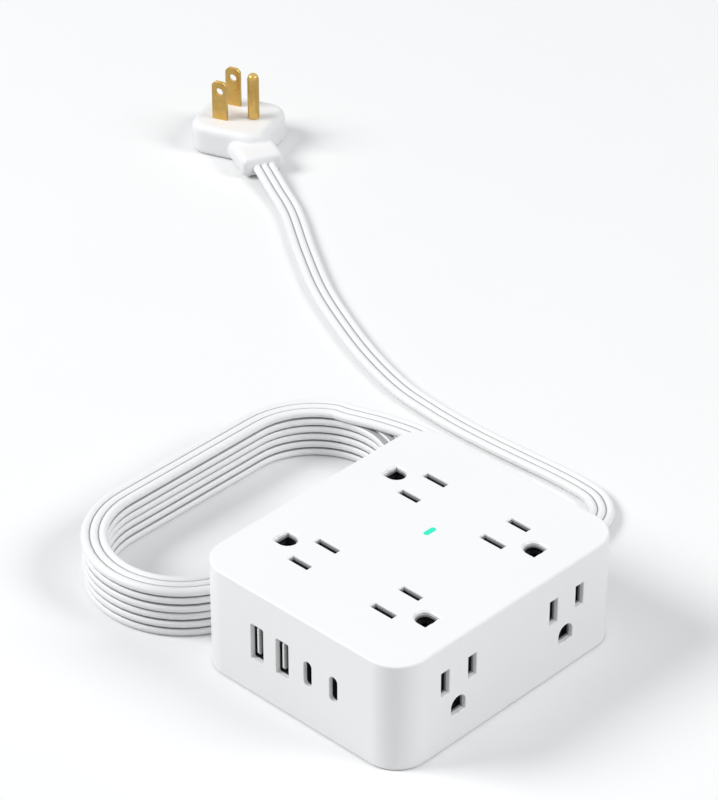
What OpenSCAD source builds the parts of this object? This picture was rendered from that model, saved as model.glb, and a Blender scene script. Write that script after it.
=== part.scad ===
// Tabletop surge protector: a moulded housing with four outlets in its top and two in each side,
// four USB ports in its front face, and a flat three-rib cord that ends in a flat plug.
// X runs along the USB face, Y from that face to the rear, Z up. The origin is under the middle
// of the housing, on the surface that the feet stand on.

/* [Housing] */
// Width between the two side outlet faces
body_w = 91; // [89:0.5:112]
// Depth from the USB face to the rear face
body_d = 108; // [106:0.5:132]
// Height of the top face above the table
body_h = 41.6; // [41:0.2:52]
// Radius of the upright corners
corner_r = 12; // [10:0.5:15]
// Rounding of the top edge
edge_r = 0.8; // [0.6:0.1:2.4]
// Thickness of the walls and the top
shell_t = 2.8; // [2.4:0.1:3.4]
// Gap that the feet leave under the walls
foot_gap = 0.5; // [0.5:0.1:1]
// Thickness of the base cover
base_t = 2.2; // [2:0.1:2.6]
// Radius of the screw posts
post_r = 4; // [3.5:0.1:4.8]
// Diameter of the rubber feet
foot_d = 9; // [8:0.5:12]
// Thickness of the rubber feet
foot_t = 1.6; // [1.4:0.1:1.8]

/* [Outlets] */
// Distance from the middle of the top to a column of blade slots
top_outlet_x = 18.6; // [18:0.1:20]
// Distance from the middle to an outlet along the housing
outlet_y = 25.9; // [24:0.1:26.4]
// Height of the blade slots of the side outlets
side_outlet_z = 26.7; // [26:0.1:27.4]
// Spacing of the two blades
blade_pitch = 12.7; // [12:0.1:13.4]
// Distance from the line of the blades to the ground pin
ground_offset = 11.9; // [11.4:0.1:12.4]
// Length of the neutral slot
neutral_len = 9.4; // [8:0.1:10]
// Length of the line slot
line_len = 8.5; // [7:0.1:10]
// Width of the blade slots
slot_w = 2.35; // [1.9:0.05:2.9]
// Width of the top outlets' slots in the housing, where they lead a blade in
top_slot_w = 2.65; // [2:0.05:3.2]
// Width of the side outlets' slots in the housing, where they lead a blade in
side_slot_w = 3.8; // [2.4:0.05:4]
// Width of the ground hole
ground_w = 6.7; // [6.2:0.1:7]
// Height of the ground hole
ground_l = 6.5; // [6:0.1:6.7]

/* [Contacts] */
// Thickness of the contact metal
strip_t = 0.6; // [0.4:0.1:0.8]
// Depth of the line strips below an outlet face
line_depth = 14.2; // [14:0.1:14.6]
// Depth of the neutral strips below an outlet face
neutral_depth = 16.2; // [15.8:0.1:16.4]
// Length of a blade clip along its slot
clip_len = 7; // [6:0.5:7.4]
// Thickness of the plates that carry the contacts
carrier_t = 2.2; // [1.8:0.1:2.4]

/* [USB ports] */
// Spacing of the USB ports
usb_pitch = 11.4; // [10:0.1:12]
// Height of the middle of the USB ports
usb_z = 21.1; // [20.6:0.1:23]
// Width of a USB-A opening
usb_a_w = 5.6; // [5.2:0.1:6.4]
// Height of a USB-A opening
usb_a_h = 13.9; // [13.2:0.1:14.6]
// Width of a USB-C opening
usb_c_w = 3.4; // [3.2:0.1:4]
// Height of a USB-C opening
usb_c_h = 9.7; // [9.4:0.1:10.6]

/* [Breaker] */
// Distance of the reset button from the middle of the rear face
breaker_x = 18; // [17:0.5:19]
// Height of the reset button
breaker_z = 14; // [13.6:0.1:14.4]
// Radius of the reset button
button_r = 3.7; // [3:0.1:4.5]
// Travel of the reset button
button_travel = 2; // [1.5:0.1:2.4]
// Clearance between the button and its bore
button_gap = 0.08; // [0.05:0.01:0.1]

/* [Cord] */
// Width of the flat cord
cord_w = 9.2; // [8.8:0.1:9.6]
// Thickness of the flat cord
cord_t = 3.1; // [2.8:0.1:3.1]
// Radius of the middle of a turn at the coil's ends
coil_r = 30.6; // [29:0.1:31]
// Length of the coil's straight sides
coil_straight = 62.3; // [50:0.1:80]
// Number of turns, one on top of the other
coil_turns = 6; // [1:1:6]
// Height of one turn
turn_pitch = 3.2; // [3.1:0.05:3.3]
// Length of the strain relief's sleeve, in degrees of its bend
sleeve_turn = 60; // [40:1:60]

/* [Plug] */
// Width of the plug
plug_w = 31; // [30:0.5:36]
// Length of the plug
plug_l = 33; // [32:0.5:38]
// Thickness of the plug
plug_t = 13; // [12:0.5:16]
// Radius of the plug's upright corners
plug_r = 8; // [6:0.5:9]
// Width of the neck that the cord enters
neck_w = 18; // [16:0.5:20]
// Thickness of the neck
neck_t = 9.4; // [9:0.1:10]
// Distance from the plug's middle to the end of its neck
neck_reach = 30; // [28:0.5:34]
// Width of the plug's blades
blade_w = 6.35; // [6:0.05:6.6]
// Thickness of the plug's blades
blade_t = 1.52; // [1.4:0.02:1.6]
// Length of the plug's blades
blade_l = 17; // [15:0.5:18]
// Radius of the plug's ground pin
pin_r = 2.4; // [2.2:0.05:2.6]
// Length of the plug's ground pin
pin_l = 20; // [18:0.5:21]

/* [Hidden] */
$fn = 64;

seat_gap = 0.25;   // clearance of a part that drops into a recess or a frame
fit_gap = 0.02;    // clearance of a part that is moulded into another

// Levels above the table
base_z = foot_gap + 0.2;
base_top = base_z + base_t;
pad_top = base_top + 1.2;
board_t = 1.6;
usb_shell_h = 13.1;
board_top = usb_z - usb_shell_h / 2;
board_z = board_top - board_t;

// Inside of the housing
inner_w = body_w - 2 * shell_t;
inner_d = body_d - 2 * shell_t;
inner_r = corner_r - shell_t;
inner_top = body_h - shell_t;
front_in = -inner_d / 2;
rear_in = inner_d / 2;

// Screw posts and feet, one in each corner
post_x = body_w / 2 - shell_t - post_r - 4.2;
post_y = body_d / 2 - shell_t - post_r - 3.7;
foot_x = post_x - 10.5;
foot_y = body_d / 2 - shell_t - foot_d / 2 - 4.7;
screw_r = 1.35;
screw_head_r = 2.9;
screw_head_t = 1.6;
screw_len = 10;

// Outlet rows in their own frame: the face at z = 0, the ground towards +X, the outlets along Y
plate_z = -shell_t - carrier_t;
plate_x = [-7, 17];
plate_y = outlet_y + 12.1;
clip_half = 2;
clip_pinch = 0.6;
clip_flare = 1.6;
sleeve_wall = 0.7;
sleeve_depth = 7;
strip_w = 4;
neutral_strip_w = 3;
neutral_strip_x = 0.5;
line_strip_x = clip_len / 2 + 0.7;
ground_strip_w = 9;
ground_tab = 3;
tulip_r = 2.35;
tulip_l = 7.5;

// USB supply board
usb_board_w = 50;
usb_board_l = 40;
usb_board_y = front_in + 1.2;
usb_a_shell = [5.7, usb_shell_h, 14];
usb_c_shell = [3.2, 8.9, 8];
usb_a_x = [-1.5 * usb_pitch, -0.5 * usb_pitch];
usb_c_x = [0.5 * usb_pitch, 1.5 * usb_pitch];
transformer_y = usb_board_y + 29;

// Surge board
surge_board_w = 50;
surge_board_y = -2;
surge_board_l = 26;
board_post_r = 2.5;
board_post_x = 21.5;
small_screw_r = 0.9;
small_head_r = 1.9;
varistor_r = 5;
varistor_t = 3.8;
varistors_at = [[-13, 8], [13, 8], [0, 17]];
lead_r = 0.35;

// Power light in the top face
light_y = 9.3;
light_size = [2.2, 5.2];
lens_flange = [4, 7, 1.2];
led_r = 1.5;

// Breaker behind the reset button
breaker_size = [18, 18, 18];
breaker_front = body_d / 2 - 28.5;
neck_r = 5.5;
button_flange_r = 4.8;
chamber_r = 5;
chamber_y = body_d / 2 - 16;
stop_y = body_d / 2 - 8;
flange_t = 2.2;
rest_gap = 0.2;
terminal_x = [-6.5, -1];
terminal_size = [0.8, 8, 6.3];

// Cord. Its points are measured from the rear left corner of the housing, on the table.
cord_z = cord_t / 2 + 0.1;
coil_gap = 1;
coil_x = -coil_gap - cord_w / 2 - coil_r;
coil_far_y = -15.7;
coil_h = coil_turns * turn_pitch + 0.1;
exit_bend_r = 18.4;
exit_bend_x = 12.8;
exit_z = 7.4;
wire_r = 1.1;
wire_pitch = 3.05;
// The first and the last point of each list only steer the cord's ends
lead_in_points = [
    [28.7, 9.2, 7.4], [22, 15.9, 7.2], [12.8, 18.4, 5.6], [3.6, 15.9, 3.4], [-3.1, 9.2, 1.9],
    [-5.6, 0, 1.65], [-5.6, -8, 1.65], [-5.6, -16, 1.65]
];
run_points = [
    [-56, 7.7, 17.65], [-46, 12.4, 17.65], [-34, 16.7, 17.6], [-21, 20.4, 16.9],
    [-8, 22.4, 15.4], [4, 22, 13.8], [14.5, 19.7, 12.7], [23.4, 16.7, 12.1], [32.9, 15.9, 11.8],
    [41.5, 19.9, 9], [47, 27.7, 5.6], [47.8, 37.2, 3], [43.8, 45.8, 1.95], [36, 51.3, 1.65],
    [26.5, 52.6, 1.65], [15, 52.6, 1.65], [3, 52, 1.65], [-12.5, 51.4, 1.65],
    [-27.5, 51.3, 1.65], [-42.5, 52.2, 1.65], [-60.5, 54.6, 1.65], [-82.5, 61.4, 1.65],
    [-104.5, 70.8, 1.65], [-128.5, 83, 1.65], [-153, 99, 1.65], [-176.5, 115.5, 1.65],
    [-193, 124, 2.6], [-207, 130.5, 4.7], [-216, 134.7, 4.7]
];
// Outline of the cord as shares of its width and thickness
cord_section = [
    [0.5, -0.2], [0.5, 0.2], [0.4, 0.44], [0, 0.5], [-0.4, 0.44],
    [-0.5, 0.2], [-0.5, -0.2], [-0.4, -0.44], [0, -0.5], [0.4, -0.44]
];

// Plug, lying on its outer face
plug_end = [-207, 130.5];
neck_heading = -25;
neck_angle = 225;
plug_at = plug_end - neck_reach * [cos(neck_heading), sin(neck_heading)];
blade_row = 5;
neck_low = 0.6;
blade_root = 6;
blade_hole_r = 1.6;
pin_root_r = pin_r - 0.3;
pin_foot = 0.5;    // length of the narrow root that shows above the plug

// ---- shapes that several parts share ----

module rounded_rect(w, d, r) {
    square([w - 2 * r, d], center = true);
    square([w, d - 2 * r], center = true);
    for (sx = [-1, 1], sy = [-1, 1])
        translate([sx * (w / 2 - r), sy * (d / 2 - r)])
            circle(r);
}

module stadium(w, h) {
    square([w - h, h], center = true);
    for (side = [-1, 1])
        translate([side * (w - h) / 2, 0])
            circle(h / 2);
}

// Half of a block's upright section, with its top and bottom edges rounded
module half_section(half_w, h, top_r, low_r) {
    translate([0, low_r])
        square([half_w, h - top_r - low_r]);
    if (top_r > 0) {
        translate([0, h - top_r])
            square([half_w - top_r, top_r]);
        translate([half_w - top_r, h - top_r])
            circle(top_r);
    }
    if (low_r > 0) {
        square([half_w - low_r, low_r]);
        translate([half_w - low_r, low_r])
            circle(low_r);
    }
}

module section(half_w, h, top_r, low_r) {
    half_section(half_w, h, top_r, low_r);
    mirror([1, 0])
        half_section(half_w, h, top_r, low_r);
}

// Block that stands on z = 0, with upright corners of radius r and rounded top and bottom edges
module rounded_block(w, d, h, r, top_r, low_r) {
    translate([-(w / 2 - r), 0, 0])
        rotate([90, 0, 90])
            linear_extrude(w - 2 * r)
                section(d / 2, h, top_r, low_r);
    translate([0, d / 2 - r, 0])
        rotate([90, 0, 0])
            linear_extrude(d - 2 * r)
                section(w / 2, h, top_r, low_r);
    for (sx = [-1, 1], sy = [-1, 1])
        translate([sx * (w / 2 - r), sy * (d / 2 - r), 0])
            rotate_extrude()
                half_section(r, h, top_r, low_r);
}

// Children at the four mirrored places of [x, y]
module at_corners(x, y) {
    for (sx = [-1, 1], sy = [-1, 1])
        translate([sx * x, sy * y, 0])
            children();
}

// Extrudes a shape drawn in X and Z along Y, from y0 by l
module along_y(y0, l) {
    translate([0, y0 + l, 0])
        rotate([90, 0, 0])
            linear_extrude(l)
                children();
}

// Children in the frame of a row of outlets: 0 top right, 1 top left, 2 right side, 3 left side
module at_row(row) {
    rotate([0, 0, row % 2 == 1 ? 180 : 0])
        if (row < 2)
            translate([top_outlet_x, 0, body_h])
                children();
        else
            translate([body_w / 2, 0, side_outlet_z])
                rotate([0, 90, 0])
                    children();
}

// Round wire that bends at each inner point, with flat ends
module wire(points, r) {
    bend = 2 * r;
    last = len(points) - 1;
    ways = [for (i = [0 : last - 1]) unit(points[i + 1] - points[i])];
    cuts = [for (i = [0 : last])
        i == 0 || i == last ? 0 : bend * tan(acos(ways[i - 1] * ways[i]) / 2)];
    for (i = [0 : last - 1])
        translate(points[i] + cuts[i] * ways[i])
            rotate([0, acos(ways[i].z), atan2(ways[i].y, ways[i].x)])
                cylinder(r = r, h = norm(points[i + 1] - points[i]) - cuts[i] - cuts[i + 1], $fn = 24);
    for (i = [1 : last - 1]) {
        way = ways[i - 1];
        inward = unit(ways[i] - (way * ways[i]) * way);
        axis = cross(way, inward);
        centre = points[i] - cuts[i] * way + bend * inward;
        multmatrix([
            [-inward.x, way.x, axis.x, centre.x],
            [-inward.y, way.y, axis.y, centre.y],
            [-inward.z, way.z, axis.z, centre.z]
        ])
            rotate_extrude(angle = acos(way * ways[i]), $fn = 36)
                translate([bend, 0])
                    circle(r, $fn = 24);
    }
}

// ---- housing ----

module ground_shape(w, l) {
    shift = (w - l) / 2;
    translate([shift, 0])
        circle(w / 2);
    translate([shift, -w / 2])
        square([l / 2 - shift, w]);
}

module outlet_holes(depth, w = slot_w) {
    for (side = [-1, 1])
        translate([0, side * outlet_y, -depth])
            linear_extrude(depth + 1) {
                translate([0, -blade_pitch / 2])
                    square([neutral_len, w], center = true);
                translate([0, blade_pitch / 2])
                    square([line_len, w], center = true);
                translate([ground_offset, 0])
                    ground_shape(ground_w, ground_l);
            }
}

module usb_openings() {
    for (x = usb_a_x)
        translate([x, 0, usb_z])
            along_y(-body_d / 2 - 1, shell_t + 2)
                rounded_rect(usb_a_w, usb_a_h, 0.6);
    for (x = usb_c_x)
        translate([x, 0, usb_z])
            along_y(-body_d / 2 - 1, shell_t + 2)
                rotate(90)
                    stadium(usb_c_h, usb_c_w);
}

module top_housing() {
    color("white")
        difference() {
            translate([0, 0, foot_gap])
                rounded_block(body_w, body_d, body_h - foot_gap, corner_r, edge_r, 0);
            difference() {
                translate([0, 0, foot_gap - 1])
                    linear_extrude(inner_top - foot_gap + 1)
                        rounded_rect(inner_w, inner_d, inner_r);
                at_corners(post_x, post_y)
                    translate([0, 0, pad_top])
                        cylinder(r = post_r, h = body_h);
            }
            at_corners(post_x, post_y)
                translate([0, 0, pad_top - 1])
                    cylinder(r = screw_r + 0.05, h = screw_len + 3);
            for (row = [0 : 3])
                at_row(row)
                    outlet_holes(shell_t + 1, row < 2 ? top_slot_w : side_slot_w);
            usb_openings();
            translate([0, light_y, inner_top - 1])
                linear_extrude(shell_t + 2)
                    rotate(90)
                        stadium(light_size.y, light_size.x);
            translate([breaker_x, 0, breaker_z])
                along_y(rear_in - 1, shell_t + 2)
                    circle(neck_r + 0.1);
            translate([relief_x(), 0, exit_z])
                along_y(rear_in - 1, shell_t + 2)
                    stadium(relief_w + 0.2, relief_h + 0.2);
        }
}

module base_cover() {
    color("gainsboro")
        difference() {
            union() {
                translate([0, 0, base_z])
                    linear_extrude(base_t)
                        rounded_rect(inner_w - 2 * seat_gap, inner_d - 2 * seat_gap,
                                     inner_r - seat_gap);
                at_corners(post_x, post_y)
                    translate([0, 0, base_z])
                        cylinder(r = post_r + 1, h = pad_top - base_z);
                for (p = board_posts())
                    translate([p.x, p.y, base_z])
                        cylinder(r = board_post_r, h = board_z - base_z);
                translate([relief_x() - clamp_w / 2, clamp_y, base_z])
                    cube([clamp_w, clamp_l, exit_z - wire_r - base_z]);
                for (side = [-1, 1])
                    translate([relief_x() + side * clamp_screw_x, clamp_y + clamp_l / 2, base_z])
                        cylinder(r = clamp_boss_r, h = clamp_z - base_z);
                translate([breaker_x - 7, breaker_front + 3, base_z])
                    cube([14, 12, breaker_z - breaker_size.z / 2 - base_z]);
            }
            at_corners(post_x, post_y) {
                translate([0, 0, base_z - 1])
                    cylinder(r = screw_r + 0.4, h = 2 + pad_top - base_z);
                translate([0, 0, base_z - 1])
                    cylinder(r = screw_head_r + 0.3, h = 1 + pad_top - 1.6 - base_z);
            }
            at_corners(foot_x, foot_y)
                translate([0, 0, base_z - 1])
                    cylinder(d = foot_d + 0.2, h = 1 + foot_t - base_z);
            for (p = board_posts())
                translate([p.x, p.y, board_z - 6])
                    cylinder(r = small_screw_r + 0.05, h = 7);
            for (side = [-1, 1])
                translate([relief_x() + side * clamp_screw_x, clamp_y + clamp_l / 2, clamp_z - 5])
                    cylinder(r = small_screw_r + 0.05, h = 6);
        }
}

module cross_recess(r, depth) {
    for (turn = [0, 90])
        rotate([0, 0, turn])
            translate([-r * 0.6, -r * 0.13, 0])
                cube([r * 1.2, r * 0.26, depth]);
}

module housing_screws() {
    head_z = pad_top - 1.6 - screw_head_t;
    color("silver")
        at_corners(post_x, post_y)
            difference() {
                union() {
                    translate([0, 0, head_z])
                        cylinder(r = screw_head_r, h = screw_head_t);
                    translate([0, 0, head_z])
                        cylinder(r = screw_r, h = screw_head_t + screw_len);
                }
                translate([0, 0, head_z - 0.2])
                    cross_recess(screw_head_r, 1);
            }
}

module rubber_feet() {
    color("dimgray")
        at_corners(foot_x, foot_y)
            cylinder(d = foot_d, h = foot_t);
}

module indicator_lens() {
    color("aquamarine")
        translate([0, light_y, 0]) {
            translate([0, 0, inner_top - lens_flange.z])
                linear_extrude(lens_flange.z)
                    rotate(90)
                        stadium(lens_flange.y, lens_flange.x);
            translate([0, 0, inner_top])
                linear_extrude(shell_t)
                    rotate(90)
                        stadium(light_size.y - 0.1, light_size.x - 0.1);
        }
}

// ---- outlet contacts ----

module clip_sleeves(grow) {
    for (side = [-1, 1], blade = [-1, 1])
        translate([0, side * outlet_y + blade * blade_pitch / 2, plate_z - sleeve_depth / 2])
            cube([clip_len + 0.4 + 2 * grow, 2 * (clip_half + 0.45 + grow), sleeve_depth],
                 center = true);
}

module row_carrier() {
    translate([plate_x[0], -plate_y, plate_z])
        cube([plate_x[1] - plate_x[0], 2 * plate_y, carrier_t]);
    difference() {
        clip_sleeves(sleeve_wall);
        translate([0, 0, -1])
            clip_sleeves(0);
        clip_sleeves(0);
    }
}

module side_carrier(row) {
    color("dimgray")
        at_row(row)
            difference() {
                row_carrier();
                outlet_holes(shell_t + carrier_t + 1);
            }
}

module left_contact_carrier() side_carrier(3);

module right_contact_carrier() side_carrier(2);

module top_contact_carrier() {
    middle = top_outlet_x + plate_x[0] + 1;
    color("dimgray")
        difference() {
            union() {
                for (row = [0, 1])
                    at_row(row)
                        row_carrier();
                translate([-middle, -plate_y, body_h + plate_z])
                    cube([2 * middle, 2 * plate_y, carrier_t]);
            }
            for (row = [0, 1])
                at_row(row)
                    outlet_holes(shell_t + carrier_t + 1);
            translate([0, light_y, body_h + plate_z - 1])
                linear_extrude(carrier_t + 2)
                    rotate(90)
                        stadium(lens_flange.y + 1, lens_flange.x + 1);
        }
}

// Two leaves that pinch a blade, on a foot that reaches from x0 to x1
module blade_clip(depth, x1) {
    pinch_z = plate_z - 4.5;
    for (flip = [0, 1])
        mirror([0, flip, 0])
            translate([-clip_len / 2, 0, 0])
                rotate([90, 0, 90])
                    linear_extrude(clip_len)
                        polygon([
                            [clip_half - strip_t, -depth - strip_t], [clip_half, -depth - strip_t],
                            [clip_pinch + strip_t, pinch_z], [clip_flare + strip_t, plate_z],
                            [clip_flare, plate_z], [clip_pinch, pinch_z]
                        ]);
    translate([-clip_len / 2, -clip_half, -depth - strip_t])
        cube([clip_len / 2 + x1, 2 * clip_half, strip_t]);
}

module row_neutral() {
    y = -outlet_y - blade_pitch / 2;
    for (side = [0, 1])
        translate([0, y + side * 2 * outlet_y, 0])
            blade_clip(neutral_depth, clip_len / 2);
    translate([neutral_strip_x, y - clip_half, -neutral_depth - strip_t])
        cube([neutral_strip_w, 2 * outlet_y + 2 * clip_half, strip_t]);
}

module row_line() {
    y = -outlet_y + blade_pitch / 2;
    for (side = [0, 1])
        translate([0, y + side * 2 * outlet_y, 0])
            blade_clip(line_depth, line_strip_x + 1);
    translate([line_strip_x, y - clip_half, -line_depth - strip_t])
        cube([strip_w, 2 * outlet_y + 2 * clip_half, strip_t]);
}

module row_ground() {
    half_y = outlet_y + ground_strip_w / 2;
    difference() {
        translate([ground_offset - ground_strip_w / 2, -half_y - ground_tab, plate_z - strip_t])
            cube([ground_strip_w, 2 * half_y + ground_tab, strip_t]);
        for (side = [-1, 1])
            translate([ground_offset, side * outlet_y, plate_z - 1])
                cylinder(r = ground_w / 2 + 0.15, h = 2);
    }
    for (side = [-1, 1])
        translate([ground_offset, side * outlet_y, plate_z - strip_t])
            difference() {
                rotate_extrude()
                    polygon([
                        [ground_w / 2 + 0.15, 0], [ground_w / 2 + 0.15 + strip_t, 0],
                        [tulip_r + strip_t, -3], [tulip_r + strip_t, -tulip_l],
                        [tulip_r, -tulip_l], [tulip_r, -3]
                    ]);
                for (turn = [0, 90])
                    rotate([0, 0, turn])
                        translate([-5, -0.4, -tulip_l - 1])
                            cube([10, 0.8, 5]);
            }
}

module top_line_bus() {
    reach = top_outlet_x + line_strip_x + 1;
    color("goldenrod") {
        for (row = [0, 1])
            at_row(row)
                row_line();
        translate([-reach, -13, body_h - line_depth - strip_t])
            cube([2 * reach, 5, strip_t]);
    }
}

module top_neutral_bus() {
    reach = top_outlet_x + neutral_strip_x + 1;
    color("goldenrod") {
        for (row = [0, 1])
            at_row(row)
                row_neutral();
        translate([-reach, -3, body_h - neutral_depth - strip_t])
            cube([2 * reach, 6, strip_t]);
    }
}

module top_ground_bus() {
    reach = top_outlet_x + ground_offset - ground_strip_w / 2 + 1;
    color("goldenrod") {
        for (row = [0, 1])
            at_row(row)
                row_ground();
        translate([-reach, -3, body_h + plate_z - strip_t])
            cube([2 * reach, 6, strip_t]);
    }
}

module left_line_bus() color("goldenrod") at_row(3) row_line();
module left_neutral_bus() color("goldenrod") at_row(3) row_neutral();
module left_ground_bus() color("goldenrod") at_row(3) row_ground();
module right_line_bus() color("goldenrod") at_row(2) row_line();
module right_neutral_bus() color("goldenrod") at_row(2) row_neutral();
module right_ground_bus() color("goldenrod") at_row(2) row_ground();

// Wire that leaves one strip's end, crosses to the other's place and comes back to its end
module link(a, b, y, far_y, r) {
    corner = [b.x, far_y, a.y];
    down = a.y == b.y ? [] : [[b.x, far_y, b.y]];
    wire(concat([[a.x, y, a.y], [a.x, far_y, a.y], corner], down, [[b.x, y, b.y]]), r);
}

// Short wires that tie each side row to the top row, at the ends of the strips
module link_wires() {
    r = 0.8;
    end_y = outlet_y + blade_pitch / 2 + clip_half;
    link_y = end_y + 3 * r;
    ground_y = outlet_y + ground_strip_w / 2 + ground_tab;
    side_x = body_w / 2;
    line_a = [top_outlet_x + line_strip_x + strip_w / 2, body_h - line_depth - strip_t / 2];
    line_b = [side_x - line_depth - strip_t / 2, side_outlet_z - line_strip_x - strip_w / 2];
    neutral_a = [top_outlet_x + neutral_strip_x + neutral_strip_w / 2,
                 body_h - neutral_depth - strip_t / 2];
    neutral_b = [side_x - neutral_depth - strip_t / 2,
                 side_outlet_z - neutral_strip_x - neutral_strip_w / 2];
    ground_a = [top_outlet_x + ground_offset, body_h + plate_z - r - 0.1];
    ground_b = [side_x + plate_z - r - 0.1, side_outlet_z - ground_offset];
    level = abs(neutral_a.y - neutral_b.y) < neutral_strip_w / 2;
    color("darkorange")
        for (turn = [0, 180])
            rotate([0, 0, turn]) {
                link(line_a, line_b, end_y, link_y, r);
                link(neutral_a, level ? [neutral_b.x, neutral_a.y] : neutral_b, -end_y, -link_y, r);
                link(ground_a, ground_b, -ground_y, -link_y, r);
            }
}

// ---- boards and what stands on them ----

function board_posts() = [
    for (y = [usb_board_y + 19, usb_board_y + 37, surge_board_y + 3, surge_board_y + 23],
         side = [-1, 1])
        [side * board_post_x, y]
];

module circuit_board(w, y, l) {
    difference() {
        translate([-w / 2, y, board_z])
            cube([w, l, board_t]);
        for (p = board_posts())
            translate([p.x, p.y, board_z - 1])
                cylinder(r = small_screw_r + 0.2, h = board_t + 2);
    }
}

module usb_board() color("seagreen") circuit_board(usb_board_w, usb_board_y, usb_board_l);

module surge_board() color("seagreen") circuit_board(surge_board_w, surge_board_y, surge_board_l);

module usb_a_shells() {
    color("silver")
        for (x = usb_a_x)
            translate([x, 0, usb_z])
                along_y(front_in, usb_a_shell.z)
                    difference() {
                        rounded_rect(usb_a_shell.x, usb_a_shell.y, 0.5);
                        rounded_rect(usb_a_shell.x - 0.6, usb_a_shell.y - 0.6, 0.3);
                    }
}

module usb_a_cores() {
    color("white")
        for (x = usb_a_x)
            translate([x, 0, usb_z]) {
                along_y(front_in + 9.5, usb_a_shell.z - 9.5)
                    rounded_rect(usb_a_shell.x - 0.7, usb_a_shell.y - 0.7, 0.3);
                translate([-0.3, front_in + 0.6, -5.6])
                    cube([1.9, 9.4, 11.2]);
            }
}

module usb_a_contacts() {
    color("gold")
        for (x = usb_a_x, k = [-1.5 : 1.5])
            translate([x - 0.5, front_in + 1.4, usb_z + 2.3 * k - 0.5])
                cube([0.2, 8.1, 1]);
}

module usb_c_shells() {
    color("silver")
        for (x = usb_c_x)
            translate([x, 0, usb_z])
                along_y(front_in, usb_c_shell.z)
                    rotate(90)
                        difference() {
                            stadium(usb_c_shell.y, usb_c_shell.x);
                            stadium(usb_c_shell.y - 0.6, usb_c_shell.x - 0.6);
                        }
}

module usb_c_cores() {
    shell_low = usb_z - usb_c_shell.y / 2;
    color("dimgray")
        for (x = usb_c_x)
            translate([x, 0, 0]) {
                translate([-2.2, front_in + 1.5, board_top])
                    cube([4.4, usb_c_shell.z + 0.5, shell_low - board_top]);
                translate([-2.2, front_in + usb_c_shell.z, board_top])
                    cube([4.4, 2, usb_z + usb_c_shell.y / 2 - board_top]);
                translate([0, 0, usb_z]) {
                    along_y(front_in + 5.5, usb_c_shell.z - 4.5)
                        rotate(90)
                            stadium(usb_c_shell.y - 0.7, usb_c_shell.x - 0.7);
                    translate([-0.35, front_in + 0.8, -3.3])
                        cube([0.7, 5.5, 6.6]);
                }
            }
}

module usb_transformer_core() {
    color("darkslategray")
        translate([-8, transformer_y, board_top]) {
            for (z = [0, 7.4])
                translate([-8, -4.5, z])
                    cube([16, 9, 2.2]);
            for (side = [-1, 1])
                translate([side * 7 - 1, -4.5, 0])
                    cube([2, 9, 9.6]);
            cylinder(r = 2.6, h = 9.6);
        }
}

module usb_transformer_winding() {
    color("khaki")
        translate([-8, transformer_y, board_top + 2.25])
            difference() {
                cylinder(r = 5.6, h = 5.1);
                translate([0, 0, -1])
                    cylinder(r = 2.65, h = 8);
            }
}

module usb_capacitors() {
    color("midnightblue")
        for (p = [[8, 31, 4], [17, 31, 4], [8, 21.5, 4], [16, 22, 3.2]])
            translate([p.x, usb_board_y + p.y, board_top])
                cylinder(r = p.z, h = 9.5);
}

module usb_controller() {
    color("black") {
        translate([-14, usb_board_y + 17.5, board_top])
            cube([6, 5, 1]);
        translate([-4, usb_board_y + 17, board_top])
            cube([6, 6, 3]);
    }
}

module varistors() {
    low = board_top + 2.5;
    color("royalblue")
        for (p = varistors_at)
            translate([p.x, p.y, 0]) {
                translate([0, varistor_t / 2, low + varistor_r])
                    rotate([90, 0, 0])
                        cylinder(r = varistor_r, h = varistor_t);
                for (side = [-1, 1])
                    translate([side * 2.5, 0, board_top])
                        cylinder(r = lead_r, h = varistor_r, $fn = 24);
            }
}

module thermal_fuse() {
    color("white")
        translate([-18, 15.5, board_top + 1.8])
            rotate([0, 90, 0])
                cylinder(r = 1.8, h = 9);
}

module film_capacitor() {
    color("gold")
        translate([6.5, 14.5, board_top])
            cube([12, 6, 9.4]);
}

module indicator_led() {
    lens_low = inner_top - lens_flange.z;
    color("palegreen")
        translate([0, light_y, 0]) {
            translate([0, 0, lens_low - 4.3])
                cylinder(r = led_r, h = 4, $fn = 32);
            for (side = [-1, 1])
                translate([side * 0.8, 0, board_top])
                    cylinder(r = lead_r, h = lens_low - 4 - board_top, $fn = 24);
        }
}

module small_screw(z, l) {
    translate([0, 0, z])
        cylinder(r = small_head_r, h = 1.2);
    translate([0, 0, z - l])
        cylinder(r = small_screw_r, h = l + 0.5);
}

module board_screws() {
    color("silver")
        for (p = board_posts())
            translate([p.x, p.y, 0])
                small_screw(board_top, board_t + 4);
}

// ---- breaker ----

module breaker_body() {
    rear = body_d / 2;
    color("black")
        translate([breaker_x, 0, breaker_z])
            difference() {
                union() {
                    translate([-breaker_size.x / 2, breaker_front, -breaker_size.z / 2])
                        cube(breaker_size);
                    along_y(breaker_front + breaker_size.y - 1, rear - breaker_front - breaker_size.y + 1)
                        circle(neck_r);
                }
                along_y(chamber_y, stop_y - chamber_y)
                    circle(chamber_r);
                along_y(stop_y - 1, rear - stop_y + 2)
                    circle(button_r + button_gap);
            }
}

module breaker_terminals() {
    color("silver")
        for (x = terminal_x)
            translate([breaker_x + x - terminal_size.x / 2, breaker_front - terminal_size.y,
                       board_z - 1.4 - terminal_size.z])
                cube(terminal_size);
}

module reset_button() {
    rear = body_d / 2;
    front = stop_y - rest_gap - flange_t;
    color("black")
        translate([breaker_x, 0, breaker_z]) {
            along_y(front, rear - 0.1 - front)
                circle(button_r);
            along_y(front, flange_t)
                circle(button_flange_r);
        }
}

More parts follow.
